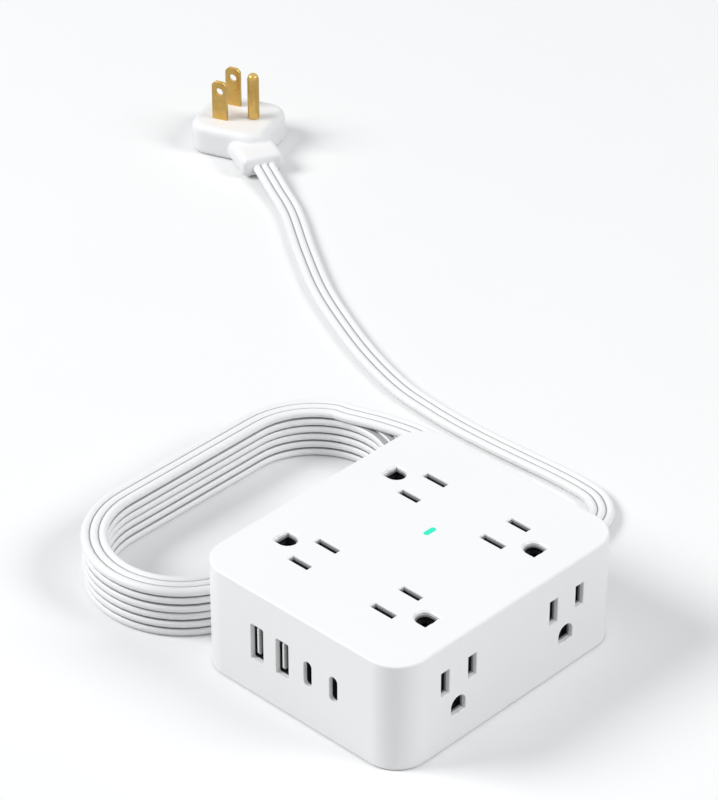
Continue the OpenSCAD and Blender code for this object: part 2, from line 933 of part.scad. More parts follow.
// Coil spring of flat rings joined by short bars, between the chamber's end and the button
module reset_spring() {
    l = stop_y - rest_gap - flange_t - chamber_y;
    turns = 4;
    step = (l - 0.6) / (turns - 1);
    color("silver")
        translate([breaker_x, 0, breaker_z]) {
            for (k = [0 : turns - 1])
                along_y(chamber_y + k * step, 0.6)
                    difference() {
                        circle(3.4);
                        circle(2.6);
                    }
            for (k = [0 : turns - 2])
                translate([k % 2 == 0 ? 2.65 : -3.35, chamber_y + k * step, -0.35])
                    cube([0.7, step + 0.6, 0.7]);
        }
}

// ---- wires and the cord's entry ----

function relief_x() = -body_w / 2 + exit_bend_x + exit_bend_r;
relief_w = 15.6;
relief_h = 6;
clamp_l = 4;
clamp_w = 11;
clamp_y = rear_in - 9.2;
clamp_z = exit_z + wire_r;
clamp_screw_x = 7.6;
clamp_boss_r = 2;
wire_start = rear_in - 2.1;

module line_wire() {
    x = relief_x() + wire_pitch;
    tab_end = breaker_front - terminal_size.y;
    tab_y = tab_end + terminal_size.y / 2;
    tab_z = board_z - 1.4 - terminal_size.z / 2;
    tab_x = [for (t = terminal_x) breaker_x + t];
    riser = [top_outlet_x + line_strip_x + strip_w - 0.5, tab_end - 5.2];
    color("black") {
        wire([[x, wire_start, exit_z], [x, tab_y, exit_z],
              [tab_x[0] - terminal_size.x / 2, tab_y, exit_z]], wire_r);
        wire([[tab_x[1], tab_end, tab_z], [tab_x[1], riser.y, tab_z], [riser.x, riser.y, tab_z],
              [riser.x, riser.y, body_h - line_depth - strip_t]], wire_r);
    }
}

module neutral_wire() {
    x = relief_x();
    riser_x = -top_outlet_x - neutral_strip_x - neutral_strip_w / 2;
    riser_y = clamp_y - 13;
    color("white")
        wire([[x, wire_start, exit_z], [x, riser_y, exit_z], [riser_x, riser_y, exit_z],
              [riser_x, riser_y, body_h - neutral_depth - strip_t]], wire_r);
}

module ground_wire() {
    x = relief_x() - wire_pitch;
    riser = [-top_outlet_x - ground_offset + 0.5, clamp_y - 2];
    tab_y = outlet_y + ground_strip_w / 2 + ground_tab - 1.9;
    tab_z = body_h + plate_z - strip_t;
    color("green")
        wire([[x, wire_start, exit_z], [x, riser.y, exit_z], [riser.x, riser.y, exit_z],
              [riser.x, riser.y, tab_z - 4.4], [riser.x, tab_y, tab_z - 4.4],
              [riser.x, tab_y, tab_z]], wire_r);
}

module cord_clamp() {
    bar_w = 2 * (clamp_screw_x + clamp_boss_r);
    color("dimgray")
        translate([relief_x(), clamp_y + clamp_l / 2, clamp_z])
            difference() {
                linear_extrude(2.3)
                    stadium(bar_w, clamp_l);
                for (side = [-1, 1])
                    translate([side * clamp_screw_x, 0, -1])
                        cylinder(r = small_screw_r + 0.2, h = 5);
            }
}

module clamp_screws() {
    color("silver")
        for (side = [-1, 1])
            translate([relief_x() + side * clamp_screw_x, clamp_y + clamp_l / 2, 0])
                small_screw(clamp_z + 2.3, 6.5);
}

// Rubber strain relief: a flange on each side of the wall and a ribbed sleeve that bends with
// the cord towards the left
module strain_relief() {
    rear = body_d / 2;
    ribs = 6;
    step = sleeve_turn / ribs;
    color("whitesmoke") {
        translate([relief_x(), 0, exit_z]) {
            along_y(rear_in - 2, 2)
                stadium(relief_w + 4, relief_h + 2);
            along_y(rear_in, shell_t)
                stadium(relief_w, relief_h);
            along_y(rear, 1.6)
                stadium(relief_w + 2, relief_h + 1.6);
        }
        translate([-body_w / 2 + exit_bend_x, rear, exit_z]) {
            rotate_extrude(angle = sleeve_turn)
                translate([exit_bend_r, 0])
                    stadium(10.4, 4.2);
            for (k = [0 : ribs - 1])
                rotate([0, 0, k * step])
                    rotate_extrude(angle = step * 0.6)
                        translate([exit_bend_r, 0])
                            stadium(14 - 0.5 * k, 5.6 - 0.22 * k);
        }
    }
}

// ---- cord ----

// Point at t between b and c on the smooth curve through four points
function curve(a, b, c, d, t) =
    (2 * b + (c - a) * t + (2 * a - 5 * b + 4 * c - d) * t * t
     + (3 * b - a - 3 * c + d) * t * t * t) / 2;

function route(p, steps) = [
    for (i = [1 : len(p) - 3], k = [0 : steps - 1])
        curve(p[i - 1], p[i], p[i + 1], p[i + 2], k / steps),
    p[len(p) - 2]
];

function unit(v) = v / norm(v);

// Flat tube of the cord's section, swept along a list of points with its width level
module flat_cord(points) {
    p = route(points, 2);
    n = len(p);
    m = len(cord_section);
    last = len(points) - 1;
    ahead = [
        unit(points[2] - points[0]),
        for (i = [1 : n - 2]) unit(p[i + 1] - p[i - 1]),
        unit(points[last] - points[last - 2])
    ];
    across = [for (t = ahead) unit([t.y, -t.x, 0])];
    rings = [
        for (i = [0 : n - 1], s = cord_section)
            p[i] + s.x * cord_w * across[i] + s.y * cord_t * cross(across[i], ahead[i])
    ];
    sides = [
        for (i = [0 : n - 2], j = [0 : m - 1], half = [0, 1])
            let (a = i * m + j, b = i * m + (j + 1) % m)
                half == 0 ? [a, b, b + m] : [a, b + m, a + m]
    ];
    caps = [[for (j = [m - 1 : -1 : 0]) j], [for (j = [0 : m - 1]) (n - 1) * m + j]];
    polyhedron(rings, concat(sides, caps));
}

module at_corner() {
    translate([-body_w / 2, body_d / 2, 0])
        children();
}

module cord_lead_in() color("white") at_corner() flat_cord(lead_in_points);

module cord_run() color("white") at_corner() flat_cord(run_points);

module cord_coil() {
    color("white")
        at_corner()
            translate([coil_x, coil_far_y - coil_straight / 2, 0])
                linear_extrude(coil_h)
                    rotate(90)
                        difference() {
                            stadium(coil_straight + 2 * coil_r + cord_w, 2 * coil_r + cord_w);
                            stadium(coil_straight + 2 * coil_r - cord_w, 2 * coil_r - cord_w);
                        }
}

// ---- plug ----

// Children in the plug's own frame: its outer face down at z = 0, the ground pin towards -Y
module at_plug() {
    at_corner()
        translate([plug_at.x, plug_at.y, 0])
            rotate([0, 0, neck_heading - neck_angle])
                children();
}

module plug_body() {
    color("white")
        at_plug()
            difference() {
                union() {
                    rounded_block(plug_w, plug_l, plug_t, plug_r, 3, 2);
                    rotate([0, 0, neck_angle])
                        translate([neck_reach / 2, 0, neck_low])
                            linear_extrude(neck_t - neck_low)
                                rounded_rect(neck_reach, neck_w, 4);
                }
                for (side = [-1, 1])
                    translate([side * blade_pitch / 2, blade_row, plug_t - blade_root])
                        linear_extrude(blade_root + 1)
                            square([blade_t + 2 * fit_gap, blade_w + 2 * fit_gap], center = true);
                translate([0, blade_row - ground_offset, plug_t - blade_root])
                    cylinder(r = pin_root_r + fit_gap, h = blade_root + 1);
            }
}

module blade(side) {
    tip = 1.4;
    color("silver")
        at_plug()
            translate([side * blade_pitch / 2 - blade_t / 2, blade_row, plug_t])
                rotate([90, 0, 90])
                    difference() {
                        linear_extrude(blade_t)
                            polygon([
                                [-blade_w / 2, -blade_root], [blade_w / 2, -blade_root],
                                [blade_w / 2, blade_l - tip], [blade_w / 2 - tip, blade_l],
                                [-blade_w / 2 + tip, blade_l], [-blade_w / 2, blade_l - tip]
                            ]);
                        translate([0, blade_l - 4.5, -1])
                            cylinder(r = blade_hole_r, h = blade_t + 2);
                    }
}

module line_blade() blade(-1);

module neutral_blade() blade(1);

module ground_pin() {
    color("silver")
        at_plug()
            translate([0, blade_row - ground_offset, plug_t - blade_root])
                rotate_extrude()
                    translate([0, blade_root])
                        polygon([
                            [0, -blade_root], [pin_root_r, -blade_root], [pin_root_r, pin_foot],
                            [pin_r, pin_foot], [pin_r, pin_l - pin_r],
                            [pin_r * 0.8, pin_l - pin_r * 0.3], [pin_r * 0.4, pin_l], [0, pin_l]
                        ]);
}

top_housing();
base_cover();
housing_screws();
rubber_feet();
indicator_lens();
top_contact_carrier();
left_contact_carrier();
right_contact_carrier();
top_line_bus();
top_neutral_bus();
top_ground_bus();
left_line_bus();
left_neutral_bus();
left_ground_bus();
right_line_bus();
right_neutral_bus();
right_ground_bus();
link_wires();
usb_board();
usb_a_shells();
usb_a_cores();
usb_a_contacts();
usb_c_shells();
usb_c_cores();
usb_transformer_core();
usb_transformer_winding();
usb_capacitors();
usb_controller();
surge_board();
varistors();
thermal_fuse();
film_capacitor();
indicator_led();
board_screws();
breaker_body();
breaker_terminals();
reset_button();
reset_spring();
line_wire();
neutral_wire();
ground_wire();
cord_clamp();
clamp_screws();
strain_relief();
cord_lead_in();
cord_coil();
cord_run();
plug_body();
line_blade();
neutral_blade();
ground_pin();
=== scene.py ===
import math

import bmesh
import bpy
from mathutils import Matrix, Vector


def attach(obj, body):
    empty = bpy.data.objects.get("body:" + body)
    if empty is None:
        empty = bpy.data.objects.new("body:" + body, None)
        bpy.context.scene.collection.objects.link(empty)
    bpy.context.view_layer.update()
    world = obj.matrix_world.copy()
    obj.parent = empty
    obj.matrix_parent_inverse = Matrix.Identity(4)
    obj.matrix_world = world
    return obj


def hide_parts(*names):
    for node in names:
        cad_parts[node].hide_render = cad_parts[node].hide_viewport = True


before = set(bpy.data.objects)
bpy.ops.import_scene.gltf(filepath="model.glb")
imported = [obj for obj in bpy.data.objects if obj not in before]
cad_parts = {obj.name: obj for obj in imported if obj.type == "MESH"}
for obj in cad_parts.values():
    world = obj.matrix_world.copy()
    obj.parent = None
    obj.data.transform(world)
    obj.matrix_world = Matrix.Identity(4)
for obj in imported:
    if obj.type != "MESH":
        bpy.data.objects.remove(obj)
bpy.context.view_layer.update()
scene = bpy.context.scene

# ---- Camera ----
# A long lens looks down on the housing's front right corner, so the USB face, the outlets
# of the right side and of the top, the coil and the plug all show.

camera = bpy.data.objects.new("camera", bpy.data.cameras.new("camera"))
scene.collection.objects.link(camera)
scene.camera = camera
camera.data.sensor_width = 36
camera.data.lens = 165.9
camera.data.clip_end = 20
camera.location = (0.6601, -0.7138, 0.7465)
camera.rotation_euler = Vector((-0.5752, 0.6009, -0.5552)).to_track_quat("-Z", "Y").to_euler()

# ---- Flat cord ----
# Three-core flat mains cord: three insulated copper cores side by side in one extruded
# jacket of soft white vinyl, 9.2 by 3.1 mm, so it shows three round ribs with a groove
# between each two. It leaves the strain relief, makes six turns and runs on to the plug.

MM = 0.001
REAR_LEFT = Vector((-45.5, 54, 0))
RIB_R, RIB_PITCH, GROOVE_ANGLE = 1.55, 3.05, 30
COIL_R, COIL_X, COIL_FRONT_Y, COIL_REAR_Y = 30.6, -81.7, -24.0, 38.3
TURNS, TURN_PITCH, CORD_LOW = 6, 3.2, 1.65
CLIMB_FROM, CLIMB_OVER = 68, 40
SECTION_GIRTH, GROOVE_HALF_WIDTH = 24, 0.25


def arc_points(centre, r, start, end, steps):
    """Points (x, y) on an arc, with its angles in degrees."""
    angles = [math.radians(start + (end - start) * k / steps) for k in range(steps + 1)]
    return [(centre[0] + r * math.cos(a), centre[1] + r * math.sin(a)) for a in angles]


def smooth_route(points, steps):
    """Points on the smooth curve through all but the first and last point, which steer it."""
    route = []
    for a, b, c, d in zip(points, points[1:], points[2:], points[3:]):
        for k in range(steps):
            t = k / steps
            route.append((2 * b + (c - a) * t + (2 * a - 5 * b + 4 * c - d) * t ** 2
                          + (3 * b - a - 3 * c + d) * t ** 3) / 2)
    return route + [points[-2]]


def ease(t):
    """A step from 0 to 1 with a level start and end."""
    t = min(max(t, 0), 1)
    return t * t * (3 - 2 * t)


def sway(turn):
    """How far a turn's right side lies out of line, in millimetres."""
    return 0.22 * math.sin(2.3 * turn + 0.6)


def coil_route():
    """Six turns, clockwise from above; each climbs one cord's thickness behind the housing."""
    route = []
    for turn in range(TURNS):
        low = CORD_LOW + turn * TURN_PITCH
        right = COIL_X + COIL_R + sway(turn)
        left = COIL_X - COIL_R + 0.18 * math.cos(1.7 * turn)
        length = COIL_REAR_Y - COIL_FRONT_Y
        r = (right - left) / 2
        middle = (right + left) / 2
        route += [Vector((right, COIL_REAR_Y - length * k / 5, low)) for k in range(5)]
        near = arc_points((middle, COIL_FRONT_Y), r, 0, -180, 24)
        route += [Vector((x, y, low)) for x, y in near]
        route += [Vector((left, COIL_FRONT_Y + length * k / 5, low)) for k in range(1, 5)]
        last = turn == TURNS - 1
        next_right = COIL_X + COIL_R + (0 if last else sway(turn + 1))
        end, steps = (120, 8) if last else (7.5, 23)
        for k, (x, y) in enumerate(arc_points((middle, COIL_REAR_Y), r, 180, end, steps)):
            angle = 180 + (end - 180) * k / steps
            share = (180 - angle) / 180
            climb = 0 if last else TURN_PITCH * ease((CLIMB_FROM - angle) / CLIMB_OVER)
            route.append(Vector((x + (next_right - right) * share ** 3, y, low + climb)))
    return route


lead_in = [REAR_LEFT + Vector(p) for p in (
    (28.7, 9.2, 7.4), (24.2, 14.2, 7.3), (22, 15.9, 7.2), (12.8, 18.4, 5.6), (3.6, 15.9, 3.4),
    (-3.1, 9.2, 1.9), (-5.6, 0, 1.65), (-5.6, -8, 1.65), (-5.6, -15.7, 1.65))]
run_to_plug = [REAR_LEFT + Vector(p) for p in (
    (-46, 12.4, 17.65), (-34, 16.7, 17.6), (-21, 20.4, 16.9), (-8, 22.4, 15.4), (4, 22, 13.8),
    (14.5, 19.7, 12.7), (23.4, 16.7, 12.1), (32.9, 15.9, 11.8), (41.5, 19.9, 9),
    (47, 27.7, 5.6), (47.8, 37.2, 3), (43.8, 45.8, 1.95), (36, 51.3, 1.65),
    (26.5, 52.6, 1.65), (15, 52.6, 1.65), (3, 52, 1.65), (-12.5, 51.4, 1.65),
    (-27.5, 51.3, 1.65), (-42.5, 52.2, 1.65), (-60.5, 54.6, 1.65), (-82.5, 61.4, 1.65),
    (-104.5, 70.8, 1.65), (-128.5, 83, 1.65), (-153, 99, 1.65), (-176.5, 115.5, 1.65),
    (-193, 124, 2.6), (-207, 130.5, 4.7), (-210, 131.9, 4.7), (-216, 134.7, 4.7))]
turns = coil_route()
start = smooth_route(lead_in, 5)[:-1]
cord_route = start + turns[:-1] + smooth_route([turns[-3], turns[-1]] + run_to_plug, 6)
top_turn = CORD_LOW + (TURNS - 1) * TURN_PITCH
pressed = [(below, above) if len(start) <= k < len(start) + len(turns) else (False, False)
           for k, (below, above) in enumerate(
               (p.z > CORD_LOW + TURN_PITCH / 2, p.z < top_turn - TURN_PITCH / 2)
               for p in cord_route)]
cord_route = [p * MM for p in cord_route]


def rib_section():
    """Outline of the cord's section: out along the width, up through the thickness."""
    g = GROOVE_ANGLE
    outline = []
    for x, start, end, steps in ((RIB_PITCH, g - 180, 180 - g, 20), (0, g, 180 - g, 8),
                                 (-RIB_PITCH, g, 360 - g, 20), (0, 180 + g, 360 - g, 8)):
        outline += arc_points((x, 0), RIB_R, start, end, steps)
    return [(x * MM, y * MM) for x, y in outline]


def sweep(route, outline, name):
    """Closed tube of one outline along a route, its width kept level, with a UV map in metres
    along the cord and round it, and an attribute that marks where shade is painted: the grooves
    between the ribs, and where one turn lies on the next."""
    mesh = bmesh.new()
    crease = mesh.verts.layers.float.new("crease")
    rings = []
    for k, p in enumerate(route):
        ahead = (route[min(k + 1, len(route) - 1)] - route[max(k - 1, 0)]).normalized()
        across = Vector((ahead.y, -ahead.x, 0)).normalized()
        up = across.cross(ahead)
        rings.append([mesh.verts.new(p + x * across + y * up) for x, y in outline])
    uv = mesh.loops.layers.uv.new("along")
    far = [0]
    for a, b in zip(route, route[1:]):
        far.append(far[-1] + (b - a).length)
    round_step = SECTION_GIRTH * MM / len(outline)
    # Painted shade goes on the vertices in the grooves and where one turn touches the next.
    for ring, (below, above) in zip(rings, pressed):
        for vertex, (x, y) in zip(ring, outline):
            in_groove = abs(abs(x) - RIB_PITCH / 2 * MM) < GROOVE_HALF_WIDTH * MM
            touched = y > 0.8 * RIB_R * MM and above or y < -0.8 * RIB_R * MM and below
            vertex[crease] = float(in_groove or touched)
    for k in range(len(route) - 1):
        for j in range(len(outline)):
            i = (j + 1) % len(outline)
            face = mesh.faces.new((rings[k][j], rings[k][i], rings[k + 1][i], rings[k + 1][j]))
            places = ((k, j), (k, j + 1), (k + 1, j + 1), (k + 1, j))
            for loop, (ring, step) in zip(face.loops, places):
                loop[uv].uv = (far[ring], step * round_step)
    mesh.faces.new(rings[0])
    mesh.faces.new(list(reversed(rings[-1])))
    bmesh.ops.recalc_face_normals(mesh, faces=mesh.faces)
    return add_piece(mesh, name)


def add_piece(mesh, name, smooth_angle=180):
    """Makes a bmesh an object at the origin, smooth except at edges over smooth_angle."""
    for face in mesh.faces:
        face.smooth = True
    for edge in mesh.edges:
        edge.smooth = not edge.is_manifold or edge.calc_face_angle() < math.radians(smooth_angle)
    data = bpy.data.meshes.new(name)
    mesh.to_mesh(data)
    mesh.free()
    piece = bpy.data.objects.new(name, data)
    scene.collection.objects.link(piece)
    return piece


def colour(text):
    """sRGB hex, as #rrggbb, to the linear RGBA that a shader takes."""
    channels = [int(text[k:k + 2], 16) / 255 for k in (1, 3, 5)]
    return [c / 12.92 if c <= 0.04045 else ((c + 0.055) / 1.055) ** 2.4 for c in channels] + [1]


def add_node(tree, kind, inputs=None, **settings):
    """Adds a node, sets its settings, and sets or links its inputs by name or number."""
    node = tree.nodes.new(kind)
    for name, value in settings.items():
        setattr(node, name, value)
    for name, value in (inputs or {}).items():
        if isinstance(value, bpy.types.NodeSocket):
            tree.links.new(value, node.inputs[name])
        else:
            node.inputs[name].default_value = value
    return node


def finish_named(name, **sockets):
    """A material with one Principled shader, its constants set on the shader itself."""
    material = bpy.data.materials.new(name)
    material.use_nodes = True
    shader = material.node_tree.nodes["Principled BSDF"]
    for socket, value in sockets.items():
        shader.inputs[socket.replace("_", " ")].default_value = value
    return material, material.node_tree, shader


# Soft plasticised PVC, extruded: a satin white skin with faint draw lines along its length,
# slight cloudiness every few centimetres, and painted shade, a grey, in its grooves and where one
# turn lies on the next.
cord_pvc, tree, shader = finish_named("extruded_white_soft_pvc", Roughness=0.42, IOR=1.53)
along = add_node(tree, "ShaderNodeTexCoord").outputs["UV"]
stretch = add_node(tree, "ShaderNodeMapping", {"Vector": along, "Scale": (30, 2500, 1)})
lines = add_node(tree, "ShaderNodeTexNoise",
                 {"Vector": stretch.outputs[0], "Scale": 1.0, "Detail": 3.0})
cloud = add_node(tree, "ShaderNodeTexNoise", {"Vector": along, "Scale": 40.0, "Detail": 2.0})
tint = add_node(tree, "ShaderNodeMix", data_type="RGBA",
                inputs={0: cloud.outputs[0], 6: colour("#f4f4f5"), 7: colour("#fafafa")})
crease = add_node(tree, "ShaderNodeAttribute", attribute_name="crease").outputs["Fac"]
narrow = add_node(tree, "ShaderNodeMapRange", {"Value": crease, "From Min": 0.3})
# Painted shade: the marked creases are mixed towards grey.
shaded_creases = add_node(tree, "ShaderNodeMix", data_type="RGBA",
                 inputs={0: narrow.outputs[0], 6: tint.outputs[2], 7: colour("#a2a3a6")})
tree.links.new(shaded_creases.outputs[2], shader.inputs["Base Color"])
relief = add_node(tree, "ShaderNodeBump", {"Height": lines.outputs[0], "Strength": 0.15,
                                           "Distance": 0.02 * MM})
tree.links.new(relief.outputs[0], shader.inputs["Normal"])

cord = sweep(cord_route, rib_section(), "flat_cord")
cord.data.materials.append(cord_pvc)
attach(cord, "housing")
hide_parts("cord_lead_in", "cord_coil", "cord_run")

# ---- Housing ----
# Five-sided shell injection moulded in white ABS, its skin fine spark-eroded: satin, with a
# barely visible grain. Every opening has a small moulded radius, and the base closes it.

OUTER_X, OUTER_Y, TOP, RIM_TOP = 45.5 * MM, 54 * MM, 41.6 * MM, 2 * MM
HAIR = 0.01 * MM  # how far off a face still counts as on it
OPENING_RADIUS, GROUND_LEAD_IN = 0.38 * MM, 0.6 * MM
ROW_X, OUTLET_Y, GROUND_OUT = 18.6, 25.9, 11.9
LIGHT_OPENING = (0, 9.3), (2, 4)
GROUND_HOLES = (ROW_X + GROUND_OUT, OUTLET_Y), (5, 4)


def merged_copy(node):
    """A CAD node's mesh with its doubles merged and its flat faces joined."""
    mesh = bmesh.new()
    mesh.from_mesh(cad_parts[node].data)
    bmesh.ops.remove_doubles(mesh, verts=mesh.verts, dist=0.002 * MM)
    bmesh.ops.dissolve_limit(mesh, angle_limit=math.radians(0.6), verts=mesh.verts,
                             edges=mesh.edges)
    return mesh


def soften(mesh, radius, picked=lambda edge: True, least=50, segments=2):
    """Rounds the picked edges that turn by more than the least angle."""
    edges = [e for e in mesh.edges
             if e.is_manifold and math.degrees(e.calc_face_angle()) > least and picked(e)]
    bmesh.ops.bevel(mesh, geom=edges, offset=radius, segments=segments, profile=0.5,
                    affect="EDGES", clamp_overlap=False)


def follow_flats(piece):
    """Lets the large flat faces set the normals, so they stay flat beside their radii."""
    weighted = piece.modifiers.new("weighted normals", "WEIGHTED_NORMAL")
    weighted.keep_sharp = True
    weighted.weight = 90


def in_top(edge, centre, reach):
    """Whether an edge of the top face is near a place, or its mirror images, in millimetres."""
    return all(v.co.z > TOP - HAIR and abs(abs(v.co.x) - centre[0] * MM) < reach[0] * MM
               and abs(abs(v.co.y) - centre[1] * MM) < reach[1] * MM for v in edge.verts)


def on_outside(edge):
    """Whether an edge is the rim of an opening in one of the housing's outer faces, but not
    the light's, which its lens fills, nor a top ground hole's, which has a lead-in."""
    a, b = (v.co for v in edge.verts)
    if in_top(edge, *LIGHT_OPENING) or in_top(edge, *GROUND_HOLES):
        return False
    return max(a.z, b.z) > RIM_TOP and (
        min(abs(a.x), abs(b.x)) > OUTER_X - HAIR or min(abs(a.y), abs(b.y)) > OUTER_Y - HAIR
        or min(a.z, b.z) > TOP - HAIR)


mesh = merged_copy("top_housing")
soften(mesh, GROUND_LEAD_IN, lambda edge: in_top(edge, *GROUND_HOLES), segments=1)
soften(mesh, OPENING_RADIUS, on_outside)
housing = add_piece(mesh, "moulded_housing", 40)
follow_flats(housing)


def mottle(tree, dark, light, size, detail=3.0, stretch=(1, 1, 1)):
    """Nodes for a colour that varies over grains of a size in millimetres. Gives the colour
    and the pattern behind it."""
    place = add_node(tree, "ShaderNodeMapping", {
        "Vector": add_node(tree, "ShaderNodeTexCoord").outputs["Object"], "Scale": stretch})
    grains = add_node(tree, "ShaderNodeTexNoise", {
        "Vector": place.outputs[0], "Scale": 1000 / size, "Detail": detail})
    tint = add_node(tree, "ShaderNodeMix", data_type="RGBA",
                    inputs={0: grains.outputs[0], 6: colour(dark), 7: colour(light)})
    return tint.outputs[2], grains.outputs[0]


def moulded(name, dark, light, cloud, detail, grain, **sockets):
    """A moulded plastic: the colour of its flow varies over one size, and the eroded skin of
    its mould has a fine grain of another, both in millimetres."""
    material, tree, shader = finish_named(name, **sockets)
    tint, _ = mottle(tree, dark, light, cloud, detail)
    tree.links.new(tint, shader.inputs["Base Color"])
    skin = add_node(tree, "ShaderNodeTexNoise", {
        "Vector": add_node(tree, "ShaderNodeTexCoord").outputs["Object"],
        "Scale": 1000 / grain, "Detail": 2.0})
    relief = add_node(tree, "ShaderNodeBump", {
        "Height": skin.outputs[0], "Strength": 0.12, "Distance": 0.01 * MM})
    tree.links.new(relief.outputs[0], shader.inputs["Normal"])
    return material


# ABS, satin white: base colour near paper white, roughness of a VDI 18 eroded tool, its
# 0.05 mm grain drawn at 0.25 mm so that it still shows.
abs_white = moulded("moulded_white_abs", "#f8f8f9", "#fbfbfb", 45, 1.0, 0.25,
                    Roughness=0.38, IOR=1.54)
housing.data.materials.append(abs_white)
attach(housing, "housing")
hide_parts("top_housing")

# ---- Outlet liners ----
# Painted shade: dark liners of glass-filled nylon behind the face, each lining its slot or ground
# hole from just below the surface, so the openings look black inside.

LINER_WALL, LINER_GAP, LINER_END = 0.5, 0.02, 2.78
NEUTRAL_SLOT, LINE_SLOT, SLOT_OFF, CORNER = 9.4, 8.5, 6.35, 0.3
GROUND_R, GROUND_ROUND_X, GROUND_FLAT_X = 3.35, 12.0, 15.15
TOP_ROW = (ROW_X, 0, 41.6), (0, 0, 0)
SIDE_ROW = (45.5, 0, 26.7), (0, math.radians(90), 0)


def outline_curve(name, loops):
    """A curve object of closed outlines in the XY plane, in metres."""
    data = bpy.data.curves.new(name, "CURVE")
    data.dimensions = "3D"
    for loop in loops:
        spline = data.splines.new("POLY")
        spline.points.add(len(loop) - 1)
        for point, (x, y) in zip(spline.points, loop):
            point.co = (x * MM, y * MM, 0, 1)
        spline.use_cyclic_u = True
    piece = bpy.data.objects.new(name, data)
    scene.collection.objects.link(piece)
    return piece


def rounded_box(cx, cy, w, d, r, steps=3):
    """Outline of a rectangle with round corners, anticlockwise."""
    loop = []
    for sx, sy, start in ((1, 1, 0), (-1, 1, 90), (-1, -1, 180), (1, -1, 270)):
        loop += arc_points((cx + sx * (w / 2 - r), cy + sy * (d / 2 - r)), r, start, start + 90,
                           steps)
    return loop


def outlet_outlines(slot_width, inset):
    """Middle lines of the liners of one outlet: neutral slot, line slot, ground hole."""
    r, flat_x = GROUND_R - inset, GROUND_FLAT_X - inset
    ground = arc_points((GROUND_ROUND_X, 0), r, 90, 270, 16)
    ground += [(flat_x - CORNER, -r), (flat_x, CORNER - r), (flat_x, r - CORNER),
               (flat_x - CORNER, r)]
    slots = [rounded_box(0, y, length - 2 * inset, slot_width - 2 * inset, CORNER)
             for y, length in ((-SLOT_OFF, NEUTRAL_SLOT), (SLOT_OFF, LINE_SLOT))]
    return slots + [ground]


def liner_tree():
    """Sweeps a wall along the outlines, sets it at a row's place and turn, repeats it at the
    row's two outlets, and repeats the row on the housing's other side."""
    tree = bpy.data.node_groups.new("liners of both rows", "GeometryNodeTree")
    made = tree.interface
    made.new_socket("Outlines", in_out="INPUT", socket_type="NodeSocketGeometry")
    for name, kind in (("Wall", "Float"), ("Depth", "Float"), ("Top below face", "Float"),
                       ("Outlet spacing", "Float"), ("Row place", "Vector"),
                       ("Row turn", "Vector"), ("Finish", "Material")):
        made.new_socket(name, in_out="INPUT", socket_type="NodeSocket" + kind)
    made.new_socket("Liners", in_out="OUTPUT", socket_type="NodeSocketGeometry")
    given = add_node(tree, "NodeGroupInput").outputs
    level = add_node(tree, "GeometryNodeSetCurveNormal", {0: given["Outlines"]}, mode="Z_UP")
    wall = add_node(tree, "GeometryNodeCurvePrimitiveQuadrilateral",
                    {"Width": given["Wall"], "Height": given["Depth"]})
    liner = add_node(tree, "GeometryNodeCurveToMesh",
                     {"Curve": level.outputs[0], "Profile Curve": wall.outputs[0]})
    here = add_node(tree, "GeometryNodeInputPosition").outputs[0]
    height = add_node(tree, "ShaderNodeSeparateXYZ", {0: here}).outputs["Z"]
    share = add_node(tree, "ShaderNodeMath", {0: height, 1: given["Depth"]}, operation="DIVIDE")
    marked = add_node(tree, "GeometryNodeStoreNamedAttribute",
                      {"Geometry": liner.outputs[0], "Name": "height_share",
                       "Value": share.outputs[0]}, data_type="FLOAT", domain="POINT")
    half = add_node(tree, "ShaderNodeMath", {0: given["Depth"], 1: -0.5}, operation="MULTIPLY")
    low = add_node(tree, "ShaderNodeMath", {0: half.outputs[0], 1: given["Top below face"]},
                   operation="SUBTRACT")
    sunk = add_node(tree, "ShaderNodeCombineXYZ", {"Z": low.outputs[0]})
    under_face = add_node(tree, "GeometryNodeTransform", {
        "Geometry": marked.outputs[0], "Translation": sunk.outputs[0]})
    in_row = add_node(tree, "GeometryNodeTransform", {
        "Geometry": under_face.outputs[0], "Translation": given["Row place"],
        "Rotation": given["Row turn"]})
    back = add_node(tree, "ShaderNodeMath", {0: given["Outlet spacing"], 1: -0.5},
                    operation="MULTIPLY")
    start = add_node(tree, "ShaderNodeCombineXYZ", {"Y": back.outputs[0]})
    step = add_node(tree, "ShaderNodeCombineXYZ", {"Y": given["Outlet spacing"]})
    pair = add_node(tree, "GeometryNodeMeshLine", {
        "Count": 2, "Start Location": start.outputs[0], "Offset": step.outputs[0]})
    row = add_node(tree, "GeometryNodeInstanceOnPoints", {
        "Points": pair.outputs[0], "Instance": in_row.outputs[0]})
    centre = add_node(tree, "GeometryNodeMeshLine", {"Count": 2, "Offset": (0, 0, 0)})
    turn = add_node(tree, "ShaderNodeMath", {
        0: add_node(tree, "GeometryNodeInputIndex").outputs[0], 1: math.pi}, operation="MULTIPLY")
    about = add_node(tree, "ShaderNodeCombineXYZ", {"Z": turn.outputs[0]})
    both = add_node(tree, "GeometryNodeInstanceOnPoints", {
        "Points": centre.outputs[0], "Instance": row.outputs[0], "Rotation": about.outputs[0]})
    real = add_node(tree, "GeometryNodeRealizeInstances", {0: both.outputs[0]})
    done = add_node(tree, "GeometryNodeSetMaterial", {
        "Geometry": real.outputs[0], "Material": given["Finish"]})
    add_node(tree, "NodeGroupOutput", {0: done.outputs[0]})
    return tree


